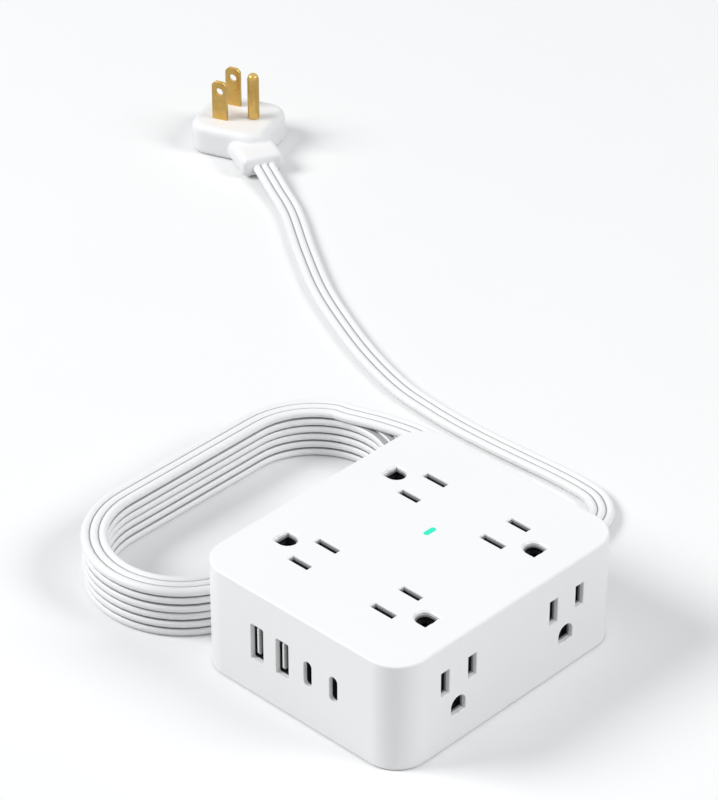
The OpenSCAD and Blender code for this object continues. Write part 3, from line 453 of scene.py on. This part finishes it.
def grow(source, tree, name, **inputs):
    """Runs a node tree on a source object and keeps its result as a plain mesh object."""
    modifier = source.modifiers.new("made", "NODES")
    modifier.node_group = tree
    for socket in tree.interface.items_tree:
        if socket.in_out == "INPUT" and socket.name.replace(" ", "_").lower() in inputs:
            modifier[socket.identifier] = inputs[socket.name.replace(" ", "_").lower()]
    seen = source.evaluated_get(bpy.context.evaluated_depsgraph_get())
    mesh = bpy.data.meshes.new_from_object(seen)
    mesh.name = name
    source.modifiers.remove(modifier)
    bpy.data.objects.remove(source)
    piece = bpy.data.objects.new(name, mesh)
    scene.collection.objects.link(piece)
    return piece


# Black glass-filled nylon: dull, with a faint mottle of its fibres; on the liners, painted shade
# makes it grey at the top rim and black deeper down.
nylon_black, tree, shader = finish_named("moulded_black_nylon", Roughness=0.6, IOR=1.53)
height = add_node(tree, "ShaderNodeAttribute", attribute_name="height_share")
fibre = add_node(tree, "ShaderNodeTexNoise", {
    "Vector": add_node(tree, "ShaderNodeTexCoord").outputs["Object"], "Scale": 1000 / 0.4})
painted_depth_shade = add_node(tree, "ShaderNodeMath", {0: fibre.outputs[0], 1: 0.25,
                                           2: height.outputs["Fac"]}, operation="MULTIPLY_ADD")
# Painted shade: grey at the liner's top rim, black deeper down, with the fibre mottle on top.
shade = add_node(tree, "ShaderNodeValToRGB", {0: painted_depth_shade.outputs[0]})
for stop, at, tone in zip(shade.color_ramp.elements, (0.2, 0.6), ("#0b0b0c", "#77777a")):
    stop.position, stop.color = at, colour(tone)
tree.links.new(shade.outputs[0], shader.inputs["Base Color"])

both_rows = liner_tree()
for name, shapes, slot_width, below, (place, turn) in (
        ("top_slot_liners", slice(0, 2), 2.65, 0.75, TOP_ROW),
        ("top_ground_liners", slice(2, 3), 2.65, 1.5, TOP_ROW),
        ("side_outlet_liners", slice(0, 3), 3.8, 1.6, SIDE_ROW)):
    outlines = outlet_outlines(slot_width, LINER_WALL / 2 + LINER_GAP)[shapes]
    liners = grow(outline_curve(name + "_outlines", outlines), both_rows, name,
                  wall=LINER_WALL * MM, depth=(LINER_END - below) * MM,
                  top_below_face=below * MM, outlet_spacing=2 * OUTLET_Y * MM,
                  row_place=[v * MM for v in place], row_turn=list(turn), finish=nylon_black)
    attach(liners, "housing")

# ---- USB sockets ----
# Two USB-A and two USB-C sockets stand on the board behind the front face. A black shroud closes
# the gap round each shell from 1.9 mm behind the face for A and 1.5 mm for C, as painted shade
# that makes each opening's walls black from there in. The A sockets hold a white tongue with four
# contacts.

FRONT, USB_Z, USB_PITCH = -54.0, 21.1, 11.4
A_OPENING, A_SHELL = (5.56, 13.86, 0.25), (4.9, 13.1, 0.25)
C_OPENING, C_SHELL = (3.36, 9.66, 1.66), (2.7, 9, 1.34)
GREY_FROM, GREY_TO = 1.9, 3.7
INTO_FRONT = Matrix(((1, 0, 0, 0), (0, 0, 1, 0), (0, 1, 0, 0), (0, 0, 0, 1)))


def stacked(mesh, outline, levels, place):
    """Closed solid of one outline at several heights, each (height, inset), lowest first."""
    rings = [[mesh.verts.new(place @ Vector((x, y, h)) * MM) for x, y in outline(inset)]
             for h, inset in levels]
    for low, high in zip(rings, rings[1:]):
        for k in range(len(low)):
            n = (k + 1) % len(low)
            mesh.faces.new((low[k], low[n], high[n], high[k]))
    mesh.faces.new(rings[0])
    mesh.faces.new(rings[-1])
    bmesh.ops.recalc_face_normals(mesh, faces=mesh.faces)


def collar(mesh, outer, inner, front, back):
    """Closed ring between two outlines in the front face's plane, from front to back."""
    rings = [[mesh.verts.new(Vector((x, y, z)) * MM) for x, z in loop]
             for loop, y in ((outer, front), (outer, back), (inner, back), (inner, front))]
    for a, b in zip(rings, rings[1:] + rings[:1]):
        for k in range(len(a)):
            n = (k + 1) % len(a)
            mesh.faces.new((a[k], a[n], b[n], b[k]))
    bmesh.ops.recalc_face_normals(mesh, faces=mesh.faces)


def pair_tree():
    """Sets copies of a part at equal steps from a start, and joins them."""
    tree = bpy.data.node_groups.new("copies at equal steps", "GeometryNodeTree")
    made = tree.interface
    made.new_socket("Part", in_out="INPUT", socket_type="NodeSocketGeometry")
    for name, kind in (("Count", "Int"), ("Start", "Vector"), ("Step", "Vector"),
                       ("Finish", "Material")):
        made.new_socket(name, in_out="INPUT", socket_type="NodeSocket" + kind)
    made.new_socket("Copies", in_out="OUTPUT", socket_type="NodeSocketGeometry")
    given = add_node(tree, "NodeGroupInput").outputs
    places = add_node(tree, "GeometryNodeMeshLine", {
        "Count": given["Count"], "Start Location": given["Start"], "Offset": given["Step"]})
    copies = add_node(tree, "GeometryNodeInstanceOnPoints", {
        "Points": places.outputs[0], "Instance": given["Part"]})
    real = add_node(tree, "GeometryNodeRealizeInstances", {0: copies.outputs[0]})
    done = add_node(tree, "GeometryNodeSetMaterial", {
        "Geometry": real.outputs[0], "Material": given["Finish"]})
    add_node(tree, "NodeGroupOutput", {0: done.outputs[0]})
    return tree


in_steps = pair_tree()
a_start = [-1.5 * USB_PITCH * MM, FRONT * MM, USB_Z * MM]
c_start = [0.5 * USB_PITCH * MM, FRONT * MM, USB_Z * MM]
port_step = [USB_PITCH * MM, 0, 0]

# Each shroud is painted shade: black from its front edge to the back of the wall.
for name, first, opening, shell, steps, front in (
        ("usb_a_shrouds", a_start, A_OPENING, A_SHELL, 3, 1.9),
        ("usb_c_shrouds", c_start, C_OPENING, C_SHELL, 8, 1.5)):
    mesh = bmesh.new()
    collar(mesh, rounded_box(0, 0, *opening, steps), rounded_box(0, 0, *shell, steps), front,
           LINER_END)
    shrouds = grow(add_piece(mesh, name + "_part", 40), in_steps, name,
                   count=2, start=first, step=port_step, finish=nylon_black)
    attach(shrouds, "housing")

# PBT, moulded white: slightly waxy, whiter and glossier than the housing, and grey from a few
# millimetres behind its tip towards its root, as painted shade.
pbt_white, tree, shader = finish_named("moulded_white_pbt", Roughness=0.3, IOR=1.55)
tint, _ = mottle(tree, "#f4f4f2", "#fdfdfc", 1.5, 2.0)
depth = add_node(tree, "ShaderNodeSeparateXYZ", {
    0: add_node(tree, "ShaderNodeTexCoord").outputs["Object"]}).outputs["Y"]
painted_depth_shade = add_node(tree, "ShaderNodeMapRange", {
    "Value": depth, "From Min": (FRONT + GREY_FROM) * MM, "From Max": (FRONT + GREY_TO) * MM})
# Painted shade: the tongue darkens to grey with depth in the shell.
tip_to_root = add_node(tree, "ShaderNodeMix", data_type="RGBA",
                       inputs={0: painted_depth_shade.outputs[0], 6: tint, 7: colour("#4a4a4b")})
tree.links.new(tip_to_root.outputs[2], shader.inputs["Base Color"])

TONGUE_X, TONGUE_T, TONGUE_LENGTH, TONGUE_H = -1.3, 0.75, 10.6, 11.6
TONGUE_TIP, TONGUE_CORNER, TONGUE_EDGE = 1.5, 1.5, 0.12
ON_EDGE = Matrix(((0, 0, 1, 0), (1, 0, 0, 0), (0, 1, 0, 0), (0, 0, 0, 1)))


def tongue_outline(inset):
    """The tongue from the side, out in depth and up: its front corners are round."""
    root, top = TONGUE_TIP + TONGUE_LENGTH - inset, TONGUE_H / 2 - inset
    r = TONGUE_CORNER - inset
    centre_x = TONGUE_TIP + TONGUE_CORNER
    return (arc_points((centre_x, top - r), r, 90, 180, 8)
            + arc_points((centre_x, r - top), r, 180, 270, 8) + [(root, -top), (root, top)])


mesh = bmesh.new()
far_side = TONGUE_X + TONGUE_T
stacked(mesh, tongue_outline, ((TONGUE_X, TONGUE_EDGE), (TONGUE_X + TONGUE_EDGE, 0),
                               (far_side - TONGUE_EDGE, 0), (far_side, TONGUE_EDGE)), ON_EDGE)
tongues = grow(add_piece(mesh, "usb_a_tongue_part", 40), in_steps, "usb_a_tongues",
               count=2, start=a_start, step=port_step, finish=pbt_white)
mesh = bmesh.new()
stacked(mesh, lambda inset: rounded_box(0, 0, 4.9 - 2 * inset, 12.3 - 2 * inset, 0.3),
        ((12.1, 0.15), (12.25, 0), (16.7, 0)), INTO_FRONT)
backs = grow(add_piece(mesh, "usb_a_back_part", 40), in_steps, "usb_a_backs",
             count=2, start=a_start, step=port_step, finish=nylon_black)
for piece, slot in ((tongues, "housing_plastic"), (backs, "black_plastic")):
    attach(piece, "housing")
    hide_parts("usb_a_cores")


def mottled(name, dark, light, size, detail=3.0, stretch=(1, 1, 1), depth=0.0, strength=0.5,
            **sockets):
    """A material whose colour, and height if a depth is given, vary over grains of a size,
    all in millimetres."""
    material, tree, shader = finish_named(name, **sockets)
    tint, pattern = mottle(tree, dark, light, size, detail, stretch)
    tree.links.new(tint, shader.inputs["Base Color"])
    if depth:
        relief = add_node(tree, "ShaderNodeBump", {
            "Height": pattern, "Strength": strength, "Distance": depth * MM})
        tree.links.new(relief.outputs[0], shader.inputs["Normal"])
    return material


# Phosphor bronze strip, flash gilded and rolled: warm, with rolling lines 0.12 mm apart that
# run 4 mm lengthways.
gilt = mottled("gilded_bronze_strip", "#d3a75a", "#edc982", 0.12, 2.0, (1, 0.12 / 4, 1),
               Metallic=1.0, Roughness=0.28)

CONTACT_PITCH = 2.3
mesh = bmesh.new()
for k in range(4):
    z = CONTACT_PITCH * (k - 1.5)
    stacked(mesh, lambda inset: rounded_box(far_side + 0.04, z, 0.12, 1.0 - 2 * inset, 0.03, 2),
            ((3.9, 0.1), (4.1, 0), (11.8, 0)), INTO_FRONT)
contacts = grow(add_piece(mesh, "usb_a_contact_part", 40), in_steps, "usb_a_contacts_gilt",
                count=2, start=a_start, step=port_step, finish=gilt)
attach(contacts, "housing")
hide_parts("usb_a_contacts")


def dress(material, *nodes):
    """Gives CAD pieces, whose shape stays, their finish."""
    for node in nodes:
        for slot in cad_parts[node].material_slots:
            slot.material = material


# Stamped steel shells, nickel plated and dulled by reflow, and coloured dark grey as painted
# shade, so that the throat stays dark.
dress(mottled("dulled_nickel_plated_steel", "#2e2e30", "#47474a", 3, 4.0, Metallic=1.0,
              Roughness=0.5), "usb_a_shells", "usb_c_shells")
dress(nylon_black, "usb_c_cores")

# ---- Indicator light ----
# A small light pipe of turquoise tinted acrylic, flush with the top, over a green LED on the
# board; its face glows evenly.

acrylic, tree, shader = finish_named("turquoise_light_pipe", Roughness=0.25, IOR=1.49,
                                     Base_Color=colour("#0f8a68"), Emission_Strength=0.62)
glow, _ = mottle(tree, "#00f8cc", "#10ffdc", 2.5, 2.0)
tree.links.new(glow, shader.inputs["Emission Color"])
dress(acrylic, "indicator_lens", "indicator_led")

# ---- Reset button ----
# Push rod of the circuit breaker, black ABS with a polished end; it slides in through the
# rear wall and its spring returns it.

BUTTON_END, BUTTON_EDGE = 53.8 * MM, 0.45 * MM

mesh = merged_copy("reset_button")
soften(mesh, BUTTON_EDGE, lambda edge: min(v.co.y for v in edge.verts) > BUTTON_END, 50, 3)
button = add_piece(mesh, "reset_button_cap", 40)
follow_flats(button)
# ABS, black: polished by its mould, with a swirl a couple of millimetres wide.
button.data.materials.append(mottled("polished_black_abs", "#131314", "#1d1d1f", 2,
                                     Roughness=0.25, IOR=1.54))
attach(button, "reset_button")
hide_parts("reset_button")

# ---- Strain relief ----
# Ribbed sleeve of soft vinyl, moulded over the cord and held in the rear wall by its own groove,
# with six ribs.

# Soft PVC, white: a little duller than the cord's, with a matt skin from its mould, drawn
# coarser than it is so that it shows.
soft_vinyl = moulded("moulded_white_soft_pvc", "#f3f3f4", "#f9f9f9", 12, 2.0, 0.3,
                     Roughness=0.45, IOR=1.53)
RIB_EDGE = 0.3 * MM

mesh = merged_copy("strain_relief")
soften(mesh, RIB_EDGE)
sleeve = add_piece(mesh, "strain_relief_sleeve", 40)
sleeve.data.materials.append(soft_vinyl)
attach(sleeve, "housing")
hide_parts("strain_relief")

# ---- Plug ----
# Flat grounded plug, moulded over its blades in one shot of white vinyl: a low block with
# full corners, and a neck at 45 degrees that runs smoothly out of it to the cord.

PLUG_AT, PLUG_TURN = Vector((-279.69, 197.18, 0)), 110
PLUG_L, PLUG_W, PLUG_H, PLUG_CORNER, PLUG_TOP_R, PLUG_LOW_R = 31, 33, 13, 8, 3.2, 2
NECK_HEADING, NECK_REACH, NECK_Z, NECK_W, NECK_T, NECK_CORNER = -25, 30, 5, 18, 8.8, 3


def rounded_levels(height, top_r, low_r, steps=5):
    """Heights and insets of a block whose top and bottom edges are round."""
    low = [(low_r - low_r * math.cos(a), low_r - low_r * math.sin(a))
           for a in (math.pi / 2 * k / steps for k in range(steps + 1))]
    high = [(height - top_r + top_r * math.sin(a), top_r - top_r * math.cos(a))
            for a in (math.pi / 2 * k / steps for k in range(steps + 1))]
    return low + high


mesh = bmesh.new()
stacked(mesh, lambda inset: rounded_box(0, 0, PLUG_L - 2 * inset, PLUG_W - 2 * inset,
                                        max(PLUG_CORNER - inset, 1), 8),
        rounded_levels(PLUG_H, PLUG_TOP_R, PLUG_LOW_R),
        Matrix.Translation(PLUG_AT) @ Matrix.Rotation(math.radians(PLUG_TURN), 4, "Z"))
along_neck = (Matrix.Translation(PLUG_AT + Vector((0, 0, NECK_Z)))
              @ Matrix.Rotation(math.radians(NECK_HEADING), 4, "Z")
              @ Matrix(((0, 0, 1, 0), (-1, 0, 0, 0), (0, 1, 0, 0), (0, 0, 0, 1))))
stacked(mesh, lambda inset: rounded_box(0, 0, NECK_W - 2 * inset, NECK_T - 2 * inset,
                                        max(NECK_CORNER - inset, 0.5), 6),
        ((0, 0), (NECK_REACH - 1.6, 0.1), (NECK_REACH - 0.6, 0.5), (NECK_REACH, 1.4)),
        along_neck)
block = add_piece(mesh, "plug_block")
blend = block.modifiers.new("one body", "REMESH")
blend.mode = "VOXEL"
blend.voxel_size = 0.4 * MM
flow = block.modifiers.new("moulded fillets", "SMOOTH")
flow.factor = 0.5
flow.iterations = 14
seen = block.evaluated_get(bpy.context.evaluated_depsgraph_get())
one_body = bpy.data.meshes.new_from_object(seen)
bpy.data.objects.remove(block)
mesh = bmesh.new()
mesh.from_mesh(one_body)
bpy.data.meshes.remove(one_body)
plug = add_piece(mesh, "plug_moulding")
plug.data.materials.append(soft_vinyl)
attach(plug, "housing")
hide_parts("plug_body")

# ---- Blades and ground pin ----
# Two flat blades and a round ground pin of solid brass, stamped or turned, then tumbled
# bright, their ends chamfered; the vinyl is moulded round their roots.

BLADE_ROOT, BLADE_EDGE = 14 * MM, 0.2 * MM

# Brass, bright from tumbling: warm yellow, with a haze a few millimetres wide that is duller
# where it is paler.
brass, tree, shader = finish_named("tumbled_bright_brass", Metallic=1.0)
tint, haze = mottle(tree, "#c39a4c", "#e2bf75", 4, 5.0)
tree.links.new(tint, shader.inputs["Base Color"])
wear = add_node(tree, "ShaderNodeMath", {0: haze, 1: 0.22, 2: 0.14}, operation="MULTIPLY_ADD")
tree.links.new(wear.outputs[0], shader.inputs["Roughness"])
for node in ("line_blade", "neutral_blade", "ground_pin"):
    mesh = merged_copy(node)
    soften(mesh, BLADE_EDGE, lambda edge: min(v.co.z for v in edge.verts) > BLADE_ROOT, 30)
    conductor = add_piece(mesh, node + "_tumbled", 40)
    follow_flats(conductor)
    conductor.data.materials.append(brass)
    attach(conductor, "housing")
    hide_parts(node)

# ---- Base, feet and screws ----
# A flat tray of the same ABS closes the shell from below, held by four cross-recess screws
# up into the corner posts; four rubber feet are glued into round pockets.

BASE_LOW, BASE_EDGE, FOOT_EDGE = 0.7 * MM, 0.25 * MM, 0.3 * MM

mesh = merged_copy("base_cover")
soften(mesh, BASE_EDGE, lambda edge: max(v.co.z for v in edge.verts) < BASE_LOW + HAIR)
base = add_piece(mesh, "moulded_base", 40)
follow_flats(base)
base.data.materials.append(abs_white)
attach(base, "housing")
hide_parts("base_cover")

# Dark natural rubber, die cut and buffed: dull, with pale dust in its pores.
rubber = mottled("buffed_grey_rubber", "#3b3b3d", "#58585a", 0.4, depth=0.05, strength=0.4,
                 Roughness=0.85, IOR=1.52)
mesh = merged_copy("rubber_feet")
soften(mesh, FOOT_EDGE, lambda edge: max(v.co.z for v in edge.verts) < HAIR, 50, 3)
feet = add_piece(mesh, "rubber_foot_discs", 40)
follow_flats(feet)
feet.data.materials.append(rubber)
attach(feet, "housing")
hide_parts("rubber_feet")

# Mild steel, zinc plated and passivated: bluish grey with a patchy bloom.
dress(mottled("bright_zinc_plated_steel", "#a9adb2", "#c9cbcd", 1.2, 4.0, Metallic=1.0,
              Roughness=0.35), "housing_screws", "board_screws", "clamp_screws", "reset_spring")

# ---- Outlet contacts ----
# Behind each outlet row a carrier, dark as painted shade, holds three stamped strips with folded
# clips, one each for line, neutral and ground, also darkened as painted shade; short wires link
# the rows.

# Glass-filled nylon: its short fibres give it a dull, slight mottle, and its dark grey is painted
# shade, so the outlets look dark inside.
dress(mottled("black_glass_filled_nylon", "#39393b", "#4d4d4f", 0.6, depth=0.02,
              Roughness=0.6, IOR=1.53),
      "top_contact_carrier", "left_contact_carrier", "right_contact_carrier")
# Brass strip, rolled and stamped, left bare and tarnished brown, and darkened further as painted
# shade; its rolling lines run lengthways.
dress(mottled("tarnished_brass_strip", "#2b251d", "#4b3f2d", 0.5, stretch=(1, 0.05, 1),
              depth=0.01, Metallic=1.0, Roughness=0.42),
      *(f"{row}_{strip}_bus" for row in ("top", "left", "right")
        for strip in ("line", "neutral", "ground")), "breaker_terminals")
# Wire vinyl, extruded: satin, each core in its usual colour and the links all grey, with the
# slight cloudiness of its dye.
for node, name, dark, light in (("link_wires", "grey_wire_pvc", "#8d8f92", "#a3a5a8"),
                                ("line_wire", "black_wire_pvc", "#121213", "#232325"),
                                ("neutral_wire", "white_wire_pvc", "#e6e6e4", "#f4f4f2"),
                                ("ground_wire", "green_wire_pvc", "#12663a", "#1d8a50")):
    dress(mottled(name, dark, light, 3, depth=0.01, Roughness=0.4, IOR=1.53), node)

# ---- Boards and their parts ----
# Two glass-epoxy boards on posts of the base: the front one makes the USB supply, the rear
# one carries the surge parts.

# Glass-epoxy board under green solder mask: glossy, with the weave just telling through it.
dress(mottled("green_masked_fr4", "#0f5a35", "#1a7a49", 1.4, depth=0.03, Roughness=0.35,
              IOR=1.55), "usb_board", "surge_board")
# Ferrite, pressed and sintered: dark grey, dull and faintly gritty.
dress(mottled("sintered_ferrite", "#1f2022", "#333437", 0.8, depth=0.03, Roughness=0.55),
      "usb_transformer_core")
# Polyester tape wound round the coil: bright yellow and glossy, in level bands.
dress(mottled("yellow_polyester_tape", "#d9b21a", "#efcf3d", 2, stretch=(0.2, 0.2, 3),
              depth=0.03, Roughness=0.3, IOR=1.6), "usb_transformer_winding")
# PVC sleeve shrunk on the capacitors' cans: blue-black and glossy, slightly rippled.
dress(mottled("shrunk_black_pvc_sleeve", "#141722", "#222838", 2, depth=0.03, Roughness=0.3,
              IOR=1.53), "usb_capacitors")
# Epoxy round the chip, transfer moulded: black, dull and very fine.
dress(mottled("black_epoxy_package", "#161617", "#29292b", 0.3, depth=0.02, Roughness=0.6,
              IOR=1.55), "usb_controller")
# Epoxy that the varistors are dipped in: blue, glossy and a little lumpy.
dress(mottled("dipped_blue_epoxy", "#1c4f9a", "#2c68b8", 1.2, depth=0.06, Roughness=0.35,
              IOR=1.55), "varistors")
# Sleeve woven of glass fibre over the thermal fuse: off-white, dull and rough.
dress(mottled("woven_glass_sleeve", "#d8d6cf", "#f0eee8", 0.5, depth=0.05, Roughness=0.7,
              IOR=1.5), "thermal_fuse")
# PBT box filled with resin, moulded: yellow and smooth.
dress(mottled("potted_yellow_pbt", "#d7a91c", "#e8c043", 1.5, depth=0.02, Roughness=0.35,
              IOR=1.55), "film_capacitor")

# ---- Circuit breaker and cord clamp ----
# The breaker's case is black phenolic, moulded and dull; the clamp is a black nylon bar that
# two screws pull down on the three cores.

# Phenolic, compression moulded: black and dull, its wood flour giving it a faint mottle.
dress(mottled("moulded_black_phenolic", "#18181a", "#2a2a2c", 0.5, depth=0.03, Roughness=0.5,
              IOR=1.6), "breaker_body")
dress(nylon_black, "cord_clamp")

# ---- Floor and light ----
# A white sweep of paper in a pale room, under two large soft lamps: the key on the left and
# to the front, and one half as strong behind on the right.

FLOOR_DROP = 0.05 * MM
LAMP_SIZE, LAMP_DISTANCE = 1.4, 3
ROOM_LIGHT, ROOM_SEEN = 0.38, 1.0

# Paper, uncoated: matt white, clouded over hand widths. It lights the object less than it
# shows, as grey card would.
paper, tree, shader = finish_named("matt_white_paper", Roughness=0.9, IOR=1.45)
tint, _ = mottle(tree, "#fafafa", "#fcfcfc", 60, 2.0)
seen = add_node(tree, "ShaderNodeLightPath").outputs["Is Camera Ray"]
shown = add_node(tree, "ShaderNodeMix", data_type="RGBA",
                 inputs={0: seen, 6: colour("#dadada"), 7: tint})
tree.links.new(shown.outputs[2], shader.inputs["Base Color"])
mesh = bmesh.new()
bmesh.ops.create_grid(mesh, x_segments=4, y_segments=4, size=4)
bmesh.ops.translate(mesh, verts=mesh.verts, vec=(0, 0, -FLOOR_DROP))
floor = add_piece(mesh, "paper_floor")
floor.data.materials.append(paper)

for name, azimuth, height, power in (("key_lamp", -138, 40, 56), ("rear_lamp", 28, 40, 36.5)):
    lamp = bpy.data.objects.new(name, bpy.data.lights.new(name, "AREA"))
    lamp.data.shape = "DISK"
    lamp.data.size = LAMP_SIZE
    lamp.data.energy = power
    around, up = math.radians(azimuth), math.radians(height)
    towards = Vector((math.cos(up) * math.cos(around), math.cos(up) * math.sin(around),
                      math.sin(up)))
    lamp.location = LAMP_DISTANCE * towards
    lamp.rotation_euler = towards.to_track_quat("Z", "Y").to_euler()
    scene.collection.objects.link(lamp)

room = bpy.data.worlds.new("pale_room")
room.use_nodes = True
tree = room.node_tree
rays = add_node(tree, "ShaderNodeLightPath").outputs
seen_or_glossy = add_node(tree, "ShaderNodeMath", {
    0: rays["Is Camera Ray"], 1: rays["Is Glossy Ray"]}, operation="MAXIMUM")
bright = add_node(tree, "ShaderNodeMath", {
    0: seen_or_glossy.outputs[0], 1: rays["Is Transmission Ray"]}, operation="MAXIMUM")
level = add_node(tree, "ShaderNodeMapRange", {
    "Value": bright.outputs[0], "To Min": ROOM_LIGHT, "To Max": ROOM_SEEN})
background = tree.nodes["Background"]
background.inputs["Color"].default_value = (0.955, 0.98, 1, 1)
tree.links.new(level.outputs[0], background.inputs["Strength"])
scene.world = room
scene.view_settings.view_transform = "Standard"
